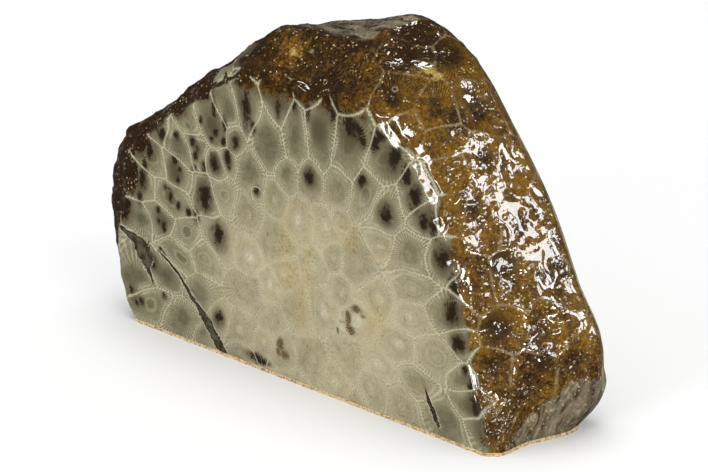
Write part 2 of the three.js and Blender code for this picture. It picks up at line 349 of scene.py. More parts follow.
class StageProperties(bpy.types.PropertyGroup):
    """Floor, lights and camera."""

    floor_size: FloatProperty(
        name="Floor Size", description="Width of the floor", default=8, min=1, max=20, unit="LENGTH")
    camera_distance: FloatProperty(
        name="Camera Distance", description="From the stone to the camera", default=0.6, min=0.2, max=3,
        unit="LENGTH")
    camera_lens: FloatProperty(
        name="Lens", description="Focal length in millimetres", default=122.8, min=20, max=300)
    camera_turn: FloatProperty(
        name="Turn", description="How far to the right of the front face the camera stands",
        default=math.radians(45.5), subtype="ANGLE", unit="ROTATION")
    camera_rise: FloatProperty(
        name="Rise", description="How far above level the camera stands",
        default=math.radians(17.9), subtype="ANGLE", unit="ROTATION")
    floor_colour: colour_property("Floor", "Plain pale floor", 225, 225, 225)
    floor_mirrored: colour_property("Mirrored Floor", "The floor as the gloss mirrors it", 72, 72, 72)


# ---- Curves and fields ----


def smooth(low, high, value):
    """0 below low, 1 above high, and a soft step between. High may be the smaller."""
    part = np.clip((value - low) / (high - low), 0, 1)
    return part * part * (3 - 2 * part)


def through(before, start, end, after, part):
    """A point on the smooth curve from start to end."""
    square = part * part
    return 0.5 * (
        2 * start + (end - before) * part + (2 * before - 5 * start + 4 * end - after) * square
        + (3 * start - before - 3 * end + after) * square * part
    )


def round_outline(outline, turn):
    """Points (x, z) of a closed outline; turn counts its points."""
    points = np.array(outline, float)
    count = len(points)
    step = np.floor(turn).astype(int)
    part = (turn - step)[:, None]
    corners = [points[(step + offset) % count] for offset in (-1, 0, 1, 2)]
    return through(*corners, part)


def across_rings(values, part_of_ring):
    """Runs a smooth curve through one value per ring, at a place counted in rings."""
    first = 2 * values[0] - values[1]
    last = 2 * values[-1] - values[-2]
    padded = np.concatenate([first[None], values, last[None]])
    step = np.clip(np.floor(part_of_ring).astype(int), 0, len(values) - 2)
    part = part_of_ring - step
    index = np.arange(len(part_of_ring))
    if values.ndim == 1:
        corners = [padded[step + offset] for offset in range(4)]
        return through(*corners, part)
    corners = [padded[step + offset, index] for offset in range(4)]
    return through(*corners, part[:, None])


def ring_places(depths):
    """Where, counted in rings, the loft reaches each depth y."""
    ring_depths = np.array([ring[0] for ring in RINGS], float)
    places = np.linspace(0, len(RINGS) - 1, RING_SAMPLES)
    return np.interp(depths, across_rings(ring_depths, places), places)


def smooth_skin(turn, depths):
    """Points (x, z) of the smooth form at each turn and depth y."""
    rings = np.stack([
        MIDDLE_POINT + (round_outline(outline, turn) - MIDDLE_POINT) * scale for _, outline, scale in RINGS
    ])
    return across_rings(rings, ring_places(depths))


def rays_from(origin, points):
    rays = points - origin
    return rays / np.linalg.norm(rays, axis=1, keepdims=True)


def scatter(index, salt):
    """A repeatable scatter value from 0 to 1."""
    step, shift, fold = SCATTER
    wave = math.sin(index * step + salt * shift) * fold
    return wave - math.floor(wave)


def spiral_ray(index):
    forward = 1 - RAY_REACH * (index + 0.5) / RAY_COUNT
    side = math.sqrt(1 - forward * forward)
    turn = index * GOLDEN_ANGLE
    ray = np.array((
        side * math.cos(turn) + RAY_SCATTER * (scatter(index, 1) - 0.5),
        -forward + RAY_SCATTER * (scatter(index, 2) - 0.5),
        side * math.sin(turn) + RAY_SCATTER * (scatter(index, 3) - 0.5),
    ))
    return ray / np.linalg.norm(ray)


def grow_rays(first_rays):
    """Adds spiral rays to the given ones wherever there is room."""
    rays = list(first_rays)
    for index in range(RAY_COUNT):
        ray = spiral_ray(index)
        if not rays or max(float(np.dot(ray, other)) for other in rays) < math.cos(RAY_CLEARANCE):
            rays.append(ray)
    return np.array(rays)


SIDE_RAYS = rays_from(COLONY, np.array(SIDE_CELLS, float))
SKIN_RAYS = grow_rays(SIDE_RAYS)
FACE_POINTS = np.array([(x, FRONT_Y, z) for x, z, _ in FACE_CELLS], float)
FACE_RAYS = rays_from(COLONY, FACE_POINTS)
FRONT_RAYS = grow_rays(np.concatenate([FACE_RAYS, SIDE_RAYS]))
FRONT_SIZES = np.concatenate([
    np.array([size for _, _, size in FACE_CELLS]), np.ones(len(FRONT_RAYS) - len(FACE_CELLS)),
])
BACK_RAYS = grow_rays([]) * (1, -1, 1)
BACK_SIZES = np.array([0.8 + 0.4 * scatter(index, 5) for index in range(len(BACK_RAYS))])


def wall_distance(points):
    """0 on the wall between two coral tubes, rising to about 1 in the middle of a tube."""
    closeness = np.clip(rays_from(COLONY, bend(points)) @ SKIN_RAYS.T, -1, 1)
    nearest = np.partition(closeness, -2, axis=1)[:, -2:]
    angles = np.arccos(nearest)
    return (angles[:, 0] - angles[:, 1]) / RAY_SPACING


def dent(points, shape):
    """A long low bump, or a hollow when its depth is positive."""
    along = (points[:, 0] - shape["at"][0]) / shape["long"]
    across = np.hypot(points[:, 1] - shape["at"][1], points[:, 2] - shape["at"][2]) / shape["wide"]
    return shape["depth"] * np.exp(-along ** 2 - across ** 2)


def waves(points, size):
    x, y, z = (points / size).T
    swell = np.sin(x + 1.3 * np.sin(z)) * np.sin(z + 1.1 * np.sin(y) + 0.7)
    return swell + 0.5 * np.sin(y * 1.7 + x * 0.6)


def rough_field(points, size, octaves):
    """Cloudy noise from about -1 to 1, with features of the given size."""
    return np.array([noise.fractal(Vector(point / size), 0.7, 2.1, octaves) for point in points])


def broken_part(points):
    """1 on the dark broken rind on the left, 0 elsewhere."""
    return smooth(-8, -30, points[:, 0])


def layered_part(points):
    """1 on the grey layered rind on the top, towards the back."""
    edge = -7 + 15 * smooth(10, 22, points[:, 0])
    along = smooth(edge, edge + 4, points[:, 1]) * smooth(48, 40, points[:, 0])
    return along * smooth(76, 82, points[:, 2])


def foot_part(points):
    """1 on the smooth foot of the right side, which rises towards the back."""
    top = np.clip(points[:, 1] + 15, 0, 16)
    return smooth(2, -2, points[:, 2] - top) * smooth(50, 58, points[:, 0])


def back_part(points):
    """1 on the polished back, which runs farther over the edge on the right, above the foot."""
    x, _, z = points.T
    edge = 14.5 - 5 * smooth(26, 46, x) + 5 * smooth(18, 8, z) * smooth(46, 56, x)
    return smooth(edge - 1, edge + 1, points[:, 1])


def bead_places():
    """The middle and width of every bead of lacquer."""
    places = [(np.array((x, y, z)), width) for x, y, z, width in LONE_BEADS]
    for patch, (middle, reach, count) in enumerate(BEAD_PATCHES):
        for index in range(count):
            shift = [(scatter(index, patch * 3 + axis + 11) - 0.5) * 2 * reach for axis in range(3)]
            width = BEAD_WIDTH * (0.7 + 0.6 * scatter(index, patch + 40))
            places.append((np.array(middle) + shift, width))
    return places


def beads(points):
    """0 on the bare skin, up to 1 on top of a bead of lacquer."""
    field = np.zeros(len(points))
    for place, width in bead_places():
        nearest = points[np.argmin(np.linalg.norm(points - place, axis=1))]
        away = np.linalg.norm(points - nearest, axis=1) / width
        field = np.maximum(field, np.sqrt(np.clip(1 - away ** 2, 0, 1)))
    return field


def pool_part(points):
    """1 where the lacquer lies smooth, 0 elsewhere."""
    return smooth(-0.1, 0.4, ball_field(points, POOLS))


def relief(points, lump_height, bead_height):
    """How far the skin stands out from the smooth form, in millimetres."""
    x, y, z = points.T
    over_base = smooth(BASE_Z + 0.5, 7, z)
    broken = broken_part(points)
    layered = layered_part(points)
    ahead = smooth(12, 2, y)
    pooled = pool_part(points)
    plain = (1 - 0.8 * pooled) * (1 - 0.75 * broken) * (1 - 0.8 * layered) * (1 - 0.9 * foot_part(points))
    cupped = smooth(6, 16, z) * plain * smooth(10, 0, y)
    wall = wall_distance(points)
    high = smooth(24, 66, z)
    depth = CUP_DEPTH_LOW + (CUP_DEPTH_HIGH - CUP_DEPTH_LOW) * high
    cup = CUP_RIM * (1 - smooth(0, 0.4, wall)) - depth * (smooth(-0.1, 0.9, wall) - 0.35)
    calm = 1 - 0.8 * pooled
    rough = waves(points, 2.6) * ROUGHNESS * (0.2 * ahead * calm + broken)
    swells = waves(points, 6.5) * LUMPINESS * (0.5 * ahead * calm + broken)
    lumps = rough_field(points, 2.8, 2) * lump_height / MM * (0.15 + 0.85 * ahead) * calm
    lacquer = beads(points) * bead_height / MM * ahead * (1 - 0.6 * pooled)
    ledges = rough_field(points * (0.35, 1.6, 1.0), 2.2, 3) * (0.5 * broken + 0.35 * layered)
    marks = dent(points, HOLLOW) + dent(points, LUMP)
    left = LEFT_FILL * smooth(-54, -66, x) * smooth(60, 48, z)
    rear = REAR_FILL * (1 - ahead) * smooth(40, 58, x)
    foot = FOOT_FILL * smooth(10, 16, z) * smooth(24, 18, z) * smooth(60, 66, x)
    fills = left + rear + foot
    return over_base * (cup * cupped + rough + swells + lumps + lacquer + ledges + fills - marks)


# ---- The stone's mesh ----


def finished_mesh(bm, name):
    mesh = bpy.data.meshes.new(name)
    bm.to_mesh(mesh)
    bm.free()
    return mesh


def fine_block(columns, rows, layers):
    """A cube from -1 to 1, cut into a fine grid on every side."""
    bm = bmesh.new()
    bmesh.ops.create_cube(bm, size=2)
    for axis, count in ((0, columns), (2, rows), (1, layers)):
        long_edges = [
            edge for edge in bm.edges if abs(edge.verts[0].co[axis] - edge.verts[1].co[axis]) > 1
        ]
        bmesh.ops.subdivide_edges(bm, edges=long_edges, cuts=count - 1, use_grid_fill=True)
    return bm


def turn_round(across, up):
    """How far round the outlines each point of the square block lies, counted in outline points."""
    reach = np.maximum(np.maximum(np.abs(across), np.abs(up)), TINY)
    side, rise = across / reach, up / reach
    sides = (
        (side <= -1 + TINY, LEFT_SPAN, (rise + 1) / 2),
        (rise >= 1 - TINY, TOP_SPAN, (side + 1) / 2),
        (side >= 1 - TINY, RIGHT_SPAN, (1 - rise) / 2),
        (rise <= -1 + TINY, BOTTOM_SPAN, (1 - side) / 2),
    )
    turn = np.zeros_like(across)
    for on_side, (start, end), part in reversed(sides):
        turn = np.where(on_side, start + (end - start) * part, turn)
    return turn


def crowd(value, amount):
    """Moves grid steps toward the ends of -1 to 1, so that they lie closer there."""
    return value * (1 - amount) + amount * np.sin(value * math.pi / 2)


def chip_rim(places, depths, inset):
    """Slopes the front rim back where it is chipped."""
    chipped = np.zeros(len(places))
    for x, z, reach in RIM_CHIPS:
        away = np.hypot(places[:, 0] - x, places[:, 1] - z) / reach
        chipped = np.maximum(chipped, CHIP_WIDTH * smooth(1.3, 0.6, away))
    slope = np.maximum(chipped - inset, 0) * CHIP_SLOPE
    ahead = depths - FRONT_Y
    return FRONT_Y + np.where(ahead < slope, slope + 0.1 * ahead, ahead)


def shape_stone(bm, lump_height, bead_height):
    """Lays the square block along the stone's form, and notes how far each point is from the rim."""
    corners = np.array([vert.co for vert in bm.verts])
    across, along, up = corners.T
    reach = crowd(np.maximum(np.abs(across), np.abs(up)), RIM_CROWDING)
    depths = (FRONT_Y + BACK_Y) / 2 + (BACK_Y - FRONT_Y) / 2 * crowd(along, FACE_CROWDING)
    turn = turn_round(across, up)
    skin = smooth_skin(turn, depths)
    points = np.stack([skin[:, 0], depths, skin[:, 1]], axis=1)
    outward = rays_from(COLONY, points)[:, (0, 2)]
    skin = skin + outward * relief(points, lump_height, bead_height)[:, None]
    flat = MIDDLE_POINT + (skin - MIDDLE_POINT) * reach[:, None]
    inset = (1 - reach) * np.linalg.norm(skin - MIDDLE_POINT, axis=1)
    depths = chip_rim(flat, depths, inset)
    inset_layer = bm.verts.layers.float.new("inset")
    for vert, (x, z), y, gap in zip(bm.verts, flat, depths, inset):
        vert.co = (x, y, z)
        vert[inset_layer] = gap


def round_rims(bm, rounding):
    """Rounds the edges of both polished faces."""
    inset_layer = bm.verts.layers.float["inset"]
    near_rim = [
        vert for vert in bm.verts
        if vert[inset_layer] < rounding
        and min(vert.co.y - FRONT_Y, BACK_Y - vert.co.y) < rounding
    ]
    for _ in range(ROUNDING_PASSES):
        bmesh.ops.smooth_vert(
            bm, verts=near_rim, factor=0.5, use_axis_x=True, use_axis_y=True, use_axis_z=True)


def cut_base(bm):
    """Cuts the stone flat underneath and closes the cut with one face."""
    everything = bm.verts[:] + bm.edges[:] + bm.faces[:]
    bmesh.ops.bisect_plane(
        bm, geom=everything, plane_co=(0, 0, BASE_Z), plane_no=(0, 0, 1), clear_inner=True)
    open_edges = [edge for edge in bm.edges if edge.is_boundary]
    bmesh.ops.edgeloop_fill(bm, edges=open_edges)
    for edge in open_edges:
        edge.smooth = False


def stone_mesh(props):
    bm = fine_block(props.columns, props.rows, props.layers)
    shape_stone(bm, props.lump_height, props.bead_height)
    round_rims(bm, props.edge_rounding / MM)
    cut_base(bm)
    bmesh.ops.recalc_face_normals(bm, faces=bm.faces)
    for face in bm.faces:
        face.smooth = len(face.verts) < CUT_CORNERS
    bmesh.ops.scale(bm, vec=(MM, MM, MM), verts=bm.verts)
    return finished_mesh(bm, "polished_stone")


# ---- What the stone's mesh carries for its material ----


def mesh_points(mesh):
    """Every vertex in millimetres."""
    flat = np.empty(len(mesh.vertices) * 3, np.float32)
    mesh.vertices.foreach_get("co", flat)
    return flat.reshape(-1, 3) / MM


def add_attribute(mesh, name, domain, values):
    """Gives every point or face corner of the mesh one number, or three."""
    kind, field = ("FLOAT", "value") if values.ndim == 1 else ("FLOAT_VECTOR", "vector")
    attribute = mesh.attributes.new(name, kind, domain)
    attribute.data.foreach_set(field, np.ascontiguousarray(values, np.float32).ravel())


def spot_field(points, spots):
    """1 in the middle of a spot, 0 at its edge and less outside, down to -1."""
    field = np.full(len(points), -1.0)
    for x, z, half_width, half_height in spots:
        away = np.hypot((points[:, 0] - x) / half_width, (points[:, 2] - z) / half_height)
        field = np.maximum(field, 1 - away)
    return field


def ball_field(points, spots):
    """The same as spot_field for spots in space."""
    field = np.full(len(points), -1.0)
    for x, y, z, reach in spots:
        field = np.maximum(field, 1 - np.linalg.norm(points - (x, y, z), axis=1) / reach)
    return field


def crack_field(points, cracks):
    """Signed distance from the nearest crack and its half width there. The third part stays 0."""
    best = np.full(len(points), np.inf)
    result = np.zeros((len(points), 3))
    place = points[:, (0, 2)]
    for crack in cracks:
        stops = np.array(crack, float)
        for start, end in zip(stops[:-1], stops[1:]):
            run = end[:2] - start[:2]
            offset = place - start[:2]
            part = np.clip(offset @ run / (run @ run), 0, 1)
            distance = np.linalg.norm(offset - part[:, None] * run, axis=1)
            side = np.sign(run[0] * offset[:, 1] - run[1] * offset[:, 0])
            width = start[2] + (end[2] - start[2]) * part
            nearer = distance < best
            best[nearer] = distance[nearer]
            result[nearer, 0] = (distance * side)[nearer]
            result[nearer, 1] = width[nearer]
    return result


def bend(points):
    """Moves points about a little, so that the walls between cells run in gentle curves."""
    moves = [
        [noise.noise(Vector(point / WALL_SWING_SIZE) + Vector((salt, 0, 0))) for point in points]
        for salt in (3, 17, 31)
    ]
    return points + WALL_SWING * np.array(moves).T


def nearest_cells(directions, rays, sizes):
    """The nearest few cells of each direction, nearest first."""
    found = []
    for start in range(0, len(directions), DIRECTIONS_AT_ONCE):
        closeness = np.clip(directions[start:start + DIRECTIONS_AT_ONCE] @ rays.T, LEAST_FACING, 1)
        away = np.sqrt(1 / closeness ** 2 - 1) / sizes
        found.append(np.argsort(away, axis=1)[:, :CELL_LAYERS])
    return np.concatenate(found)


def cell_places(directions, cells, rays, sizes, salt):
    """Where each direction falls in its cell: two parts across it, and a tone for the cell."""
    axes = rays[cells]
    up = np.array((0.0, 0.0, 1.0))
    side = np.cross(axes, up)
    side /= np.linalg.norm(side, axis=1, keepdims=True)
    rise = np.cross(side, axes)
    reach = (directions * axes).sum(1, keepdims=True)
    offset = directions / np.maximum(reach, LEAST_FACING) - axes
    scale = sizes[cells] * RAY_SPACING / 2
    tones = np.array([scatter(index, salt) for index in range(len(rays))])
    return np.stack([
        (offset * side).sum(1) / scale, (offset * rise).sum(1) / scale, tones[cells],
    ], axis=1)


def add_cells(mesh):
    """Gives every face corner its place in the three nearest coral cells."""
    points = mesh_points(mesh)
    bent = bend(points)
    corner_vertex = np.empty(len(mesh.loops), np.int32)
    mesh.loops.foreach_get("vertex_index", corner_vertex)
    corner_count = np.empty(len(mesh.polygons), np.int32)
    mesh.polygons.foreach_get("loop_total", corner_count)
    corner_face = np.repeat(np.arange(len(mesh.polygons)), corner_count)
    middles = np.stack([
        np.bincount(corner_face, bent[corner_vertex, axis]) / corner_count for axis in range(3)
    ], axis=1)
    behind = back_part(middles) > 0.5
    layers = np.zeros((CELL_LAYERS, len(corner_vertex), 3))
    for side, colony, rays, sizes, salt in (
        (~behind, COLONY, FRONT_RAYS, FRONT_SIZES, 7), (behind, BACK_COLONY, BACK_RAYS, BACK_SIZES, 9),
    ):
        chosen = side[corner_face]
        cells = np.zeros((len(middles), CELL_LAYERS), int)
        cells[side] = nearest_cells(rays_from(colony, middles[side]), rays, sizes)
        directions = rays_from(colony, bent[corner_vertex[chosen]])
        for layer in range(CELL_LAYERS):
            picked = cells[corner_face[chosen], layer]
            layers[layer, chosen] = cell_places(directions, picked, rays, sizes, salt)
    for layer in range(CELL_LAYERS):
        add_attribute(mesh, f"cell_{layer + 1}", "CORNER", layers[layer])


def add_marks(mesh):
    """Gives every vertex the marks of the front face and the kinds of rind."""
    points = mesh_points(mesh)
    spots_in_space = (CLAY_SPOTS, SHADOW_SPOTS, BARE_SPOTS)
    marks = {
        "stain": spot_field(points, DARK_SPOTS),
        "cloud": spot_field(points, BROWN_CLOUDS),
        "rust": spot_field(points, RUST_SPOTS),
        "ochre": spot_field(points, OCHRE_STREAKS),
        "rind_patch": spot_field(points, RIND_PATCHES),
        "crack": crack_field(points, CRACKS),
        "rind_kind": np.stack([broken_part(points), layered_part(points), foot_part(points)], axis=1),
        "lacquer_pool": pool_part(points),
        "polished_back": back_part(points),
        "rind_spots": np.stack([ball_field(points, spots) for spots in spots_in_space], axis=1),
    }
    for name, values in marks.items():
        add_attribute(mesh, name, "POINT", values)


# ---- Wiring of materials ----


class Field:
    """A value, colour or vector that changes over the surface. Sums with it add math nodes."""

    def __init__(self, wiring, socket):
        self.wiring = wiring
        self.socket = socket

    def __add__(self, other):
        return self.wiring.maths("ADD", self, other)

    def __sub__(self, other):
        return self.wiring.maths("SUBTRACT", self, other)

    def __rsub__(self, other):
        return self.wiring.maths("SUBTRACT", other, self)

    def __mul__(self, other):
        return self.wiring.maths("MULTIPLY", self, other)

    def __truediv__(self, other):
        return self.wiring.maths("DIVIDE", self, other)

    def __pow__(self, other):
        return self.wiring.maths("POWER", self, other)

    def __abs__(self):
        return self.wiring.maths("ABSOLUTE", self)


class Wiring:
    """Adds nodes to a tree and joins them, so that a material reads like a sum."""

    def __init__(self, tree):
        self.tree = tree

    def feed(self, sockets, sources):
        """Joins a field to each named socket, or sets the socket's own value or colour."""
        for name, source in sources.items():
            if isinstance(source, Field):
                self.tree.links.new(source.socket, sockets[name])
            else:
                colour = sockets[name].type == "RGBA"
                sockets[name].default_value = (*source, 1.0) if colour else source

    def add(self, kind, sources=None, **settings):
        """The outputs of a new node, after its settings are made and its inputs fed."""
        node = self.tree.nodes.new(kind)
        for name, value in settings.items():
            setattr(node, name, value)
        self.feed(node.inputs, sources or {})
        return {socket.name: Field(self, socket) for socket in node.outputs if socket.enabled}

    def maths(self, operation, *sources):
        return self.add("ShaderNodeMath", dict(enumerate(sources)), operation=operation)["Value"]

    def most(self, first, second):
        return self.maths("MAXIMUM", first, second)

    def least(self, first, second):
        return self.maths("MINIMUM", first, second)

    def vector(self, operation, *sources):
        return self.add("ShaderNodeVectorMath", dict(enumerate(sources)), operation=operation)["Vector"]

    def length(self, vector):
        return self.add("ShaderNodeVectorMath", {0: vector}, operation="LENGTH")["Value"]

    def step(self, value, low, high, out_low=0.0, out_high=1.0):
        """A soft step from out_low to out_high while the value goes from low to high."""
        sources = {"Value": value, "From Min": low, "From Max": high, "To Min": out_low, "To Max": out_high}
        return self.add("ShaderNodeMapRange", sources, interpolation_type="SMOOTHSTEP")["Result"]

    def band(self, value, start, rise, fade, end):
        """1 from rise to fade, and 0 below start and above end."""
        return self.step(value, start, rise) * self.step(value, end, fade)

    def blend(self, amount, first, second, kind="FLOAT"):
        """The first value turned into the second by an amount from 0 to 1."""
        sources = {"Factor": amount, "A": first, "B": second}
        return self.add("ShaderNodeMix", sources, data_type=kind)["Result"]

    def mix(self, amount, first, second, kind="MIX"):
        """The same for colours."""
        sources = {"Factor": amount, "A": first, "B": second}
        return self.add("ShaderNodeMix", sources, data_type="RGBA", blend_type=kind)["Result"]

    def shaded(self, colour, amount):
        """A colour made darker or lighter by an amount that changes over the surface."""
        grey = self.add("ShaderNodeCombineXYZ", {0: amount, 1: amount, 2: amount})["Vector"]
        return self.mix(1.0, colour, grey, "MULTIPLY")

    def split(self, vector):
        return self.add("ShaderNodeSeparateXYZ", {0: vector}).values()

    def place(self, stretch=None, turn=0.0):
        """The point on the piece, in metres. A stretch draws features out along axes turned about Y."""
        point = self.add("ShaderNodeTexCoord")["Object"]
        if stretch is None:
            return point
        sources = {"Vector": point, "Scale": stretch, "Rotation": (0, turn, 0)}
        return self.add("ShaderNodeMapping", sources, vector_type="TEXTURE")["Vector"]

    def grains(self, size):
        """Separate grains of a size: a tone for each from 0 to 1, and the distance from its middle."""
        made = self.add("ShaderNodeTexVoronoi", {"Vector": self.place(), "Scale": 1 / size})
        tone, _, _ = self.split(made["Color"])
        return tone, made["Distance"]

    def clouds(self, size, detail=3.0, rough=0.5, where=None, skew=0.0):
        """Cloudy noise from 0 to 1, with features of the given size in metres."""
        return self.add("ShaderNodeTexNoise", {
            "Vector": where or self.place(), "Scale": 1 / size, "Detail": detail, "Roughness": rough,
            "Distortion": skew,
        })["Fac"]

    def carried(self, name, output="Fac"):
        """A value that the mesh carries."""
        return self.add("ShaderNodeAttribute", attribute_name=name)[output]

    def bump(self, height, distance):
        return self.add("ShaderNodeBump", {"Height": height, "Distance": distance})["Normal"]

    def mirrored(self):
        """1 where something is seen in a reflection, and 0 elsewhere."""
        return self.add("ShaderNodeLightPath")["Is Glossy Ray"]

    def group(self, tree, sources=None):
        return self.add("ShaderNodeGroup", sources, node_tree=tree)


# ---- The materials ----

COLOUR = "NodeSocketColor"
VALUE = "NodeSocketFloat"
FINISH = {"Color": COLOUR, "Roughness": VALUE, "Height": VALUE}
POLISHED_COLOURS = ("Olive", "Pale", "Milk", "Cream", "Blush", "Ochre", "Mud", "Stain", "Rust")
RIND_COLOURS = ("Gold", "Brown", "Deep", "Broken", "Layered", "Cream", "Clay")

# The mesh carries two parts across each cell and a tone, and every cell is nearer than the far one
ACROSS_CELL = (1, 1, 0)
FAR_CELL = 100.0

# Between which depths y the polish gives way to the rind, and the lacquer to the bare face, in metres
RIND_EDGE = (-17.6 * MM, -17.0 * MM)
LACQUER_EDGE = (-17.95 * MM, -17.6 * MM)

# How deep the bumps are that the materials draw, in metres
GRAIN_DEPTH = 0.35 * MM
RIPPLE_DEPTH = 0.16 * MM
CORK_DEPTH = 0.3 * MM

# The washed-out middle of the polished face, in metres: its place, its shape, and its edge
WASHED_AT = (7 * MM, FRONT_Y * MM, 20 * MM)
WASHED_SHAPE = (0.93, 0.2, 1.15)
WASHED_EDGE = (62 * MM, 34 * MM)


def new_group(name, inputs, outputs):
    """An empty shader node group with named sockets: the group, its wiring, and what goes in and out."""
    tree = bpy.data.node_groups.new(name, "ShaderNodeTree")
    for socket, kind in inputs.items():
        made = tree.interface.new_socket(socket, in_out="INPUT", socket_type=kind)
        made.default_value = (0.5, 0.5, 0.5, 1.0) if kind == COLOUR else 1.0
    for socket, kind in outputs.items():
        tree.interface.new_socket(socket, in_out="OUTPUT", socket_type=kind)
    w = Wiring(tree)
    return tree, w, w.add("NodeGroupInput"), tree.nodes.new("NodeGroupOutput").inputs


def coral_cells_group():
    """Where a point lies in its coral cell, from the places that the mesh carries."""
    tree, w, _, out = new_group("Coral Cells", {}, dict.fromkeys(("Wall", "Reach", "Septa", "Tone"), VALUE))
    near, *others = [w.carried(f"cell_{layer + 1}", "Vector") for layer in range(CELL_LAYERS)]
    best = w.length(w.vector("MULTIPLY", near, ACROSS_CELL))
    second = FAR_CELL
    for place in others:
        away = w.length(w.vector("MULTIPLY", place, ACROSS_CELL))
        closer = w.maths("LESS_THAN", away, best)
        second = w.most(best, w.least(second, away))
        near = w.blend(closer, near, place, "VECTOR")
        best = w.least(best, away)
    side, rise, tone = w.split(near)
    angle = w.maths("ARCTAN2", rise, side)
    wobble = w.clouds(1.6 * MM, 2) * 3.0
    septa = w.maths("COSINE", angle * SEPTA + wobble)
    reach = best * 2.0 / (best + second)
    w.feed(out, {"Wall": second - best, "Reach": reach, "Septa": septa * 0.5 + 0.5, "Tone": tone})
    return tree


def polished_coral_group(cells_tree):
    """The cut and polished coral: pale walls, fine septa, olive middles, stains, rust and cracks."""
    inputs = {**dict.fromkeys(POLISHED_COLOURS, COLOUR), "Marks": VALUE}
    tree, w, given, out = new_group("Polished Coral", inputs, FINISH)
    cell = w.group(cells_tree)
    marks = given["Marks"]
    drift = w.clouds(9 * MM, 3)
    mottle = w.clouds(2.2 * MM, 4, 0.6)
    fine = w.clouds(0.9 * MM, 3, 0.65)
    grain = w.clouds(0.45 * MM, 3, 0.7)
    patchy = w.clouds(4 * MM, 2)
    # How plainly the cells show: clear at the left and top, washed out in the middle
    from_middle = w.vector("SUBTRACT", w.place(), WASHED_AT)
    middle = w.length(w.vector("MULTIPLY", from_middle, WASHED_SHAPE))
    washed = w.step(drift * (26 * MM) + middle, *WASHED_EDGE)
    clear = 1.0 - washed
    reach = (mottle - 0.5) * 0.35 + cell["Reach"]
    body = w.mix(w.step(reach, 0.15, 0.95), given["Olive"], given["Pale"])
    body = w.mix(washed, body, given["Milk"])
    eye = w.step(reach, 0.42, 0.12) * w.step(cell["Tone"], 0.1, 0.6)
    eye = eye * w.step(fine, 0.3, 0.6, 0.35, 1.0)
    body = w.mix(eye * washed * 0.95, body, given["Cream"])
    iris = w.band(reach, 0.25, 0.42, 0.5, 0.75)
    body = w.shaded(body, iris * washed * -0.09 + 1.0)
    body = w.shaded(body, cell["Tone"] * 0.22 + 0.89)
    body = w.shaded(body, w.step(drift, 0.3, 0.7, 0.88, 1.08))
    body = w.shaded(body, w.step(mottle, 0.3, 0.7, 0.86, 1.1))
    body = w.shaded(body, w.step(fine, 0.3, 0.7, 0.9, 1.1))
    rings = w.maths("SINE", reach * 26.0 + drift * 9.0)
    body = w.shaded(body, rings * 0.03 + 1.0)
    # Warm tint in the middle
    warm = washed * w.step(w.clouds(14 * MM, 4), 0.45, 0.66)
    body = w.mix(warm * w.step(fine, 0.35, 0.65, 0.0, 0.42), body, given["Blush"])
    streaks = w.clouds(5 * MM, 4, 0.65, w.place((1.0, 1.0, 2.2)))
    ochre = w.step((mottle - 0.5) * 2.0 + w.carried("ochre"), -0.8, 0.8) * marks
    body = w.mix(ochre * w.step(grain, 0.35, 0.65, 0.15, 0.6), body, given["Ochre"])
    streaks = w.most(w.step(streaks, 0.52, 0.68) * washed, ochre * 0.7)
    specks = streaks * w.step(fine, 0.45, 0.65)
    body = w.mix(specks * 0.65, body, given["Rust"])
    # Septa: fine pale spokes from the wall inward, broken here and there
    starry = w.step(w.maths("FRACT", cell["Tone"] * 7.0), 0.55, 0.7)
    starry = w.most(w.step(cell["Wall"], 0.75, 0.1), starry)
    fringe = starry * w.step(reach, 0.28, 0.75)
    spokes = w.step(cell["Septa"], 0.35, 0.9) * fringe
    broken_up = w.step(patchy, 0.32, 0.68, 0.3, 0.75) * w.step(fine, 0.35, 0.6, 0.4, 1.0)
    body = w.mix(spokes * broken_up, body, given["Cream"])
    ring = w.band(reach, 0.28, 0.4, 0.42, 0.55)
    body = w.mix(ring * w.step(cell["Tone"], 0.4, 0.9, 0.0, 0.3), body, given["Cream"])
    inner = w.band(cell["Wall"], 0.16, 0.24, 0.28, 0.38)
    inner = inner * w.step(w.clouds(5 * MM, 2), 0.45, 0.6, 0.0, 0.4)
    body = w.mix(inner, body, given["Cream"])
    # Mud in the cells, stopped by the walls
    inside = w.step(cell["Wall"], 0.02, 0.2, 0.25, 1.0)
    ragged = (mottle - 0.5) * 1.3 + (fine - 0.5)
    cloud = w.step(w.carried("cloud") + ragged, -0.3, 0.8)
    ragged = (cell["Septa"] - 0.5) * 0.25 + ragged
    halo = w.step(w.carried("stain") + ragged, -1.1, 0.1, 0.0, 0.68)
    near_rind = w.step(w.carried("rind_patch") + ragged, -0.8, 0.1, 0.0, 0.85)
    tint = w.most(w.most(cloud * 0.8, halo), near_rind) * inside
    body = w.mix(tint * marks, body, given["Mud"])
    stain = w.step(ragged * 1.7 + w.carried("stain"), -0.1, 0.4) * marks
    # On the back, only a few of the cells hold mud
    muddy = w.step(cell["Tone"], 0.84, 0.88) * w.step(reach, 0.5, 0.2) * (1.0 - marks)
    stain = w.most(stain, muddy) * inside
    # Walls, thick and thin, with a comb of septa ends along both sides
    comb = cell["Septa"] * 0.05 + w.step(fine, 0.3, 0.7, -0.015, 0.03)
    wall = w.step(cell["Wall"] - comb, 0.045, -0.01)
    wall = wall * w.blend(clear, w.step(patchy, 0.3, 0.6, 0.25, 0.65), 0.75)
    body = w.mix(wall, body, given["Cream"])
    body = w.mix(stain * 0.97, body, given["Stain"])
    rust = w.step(w.carried("rust") + ragged, -0.3, 0.4) * marks
    rust = rust * w.step(grain, 0.35, 0.55, 0.45, 0.95)
    body = w.mix(rust, body, given["Rust"])
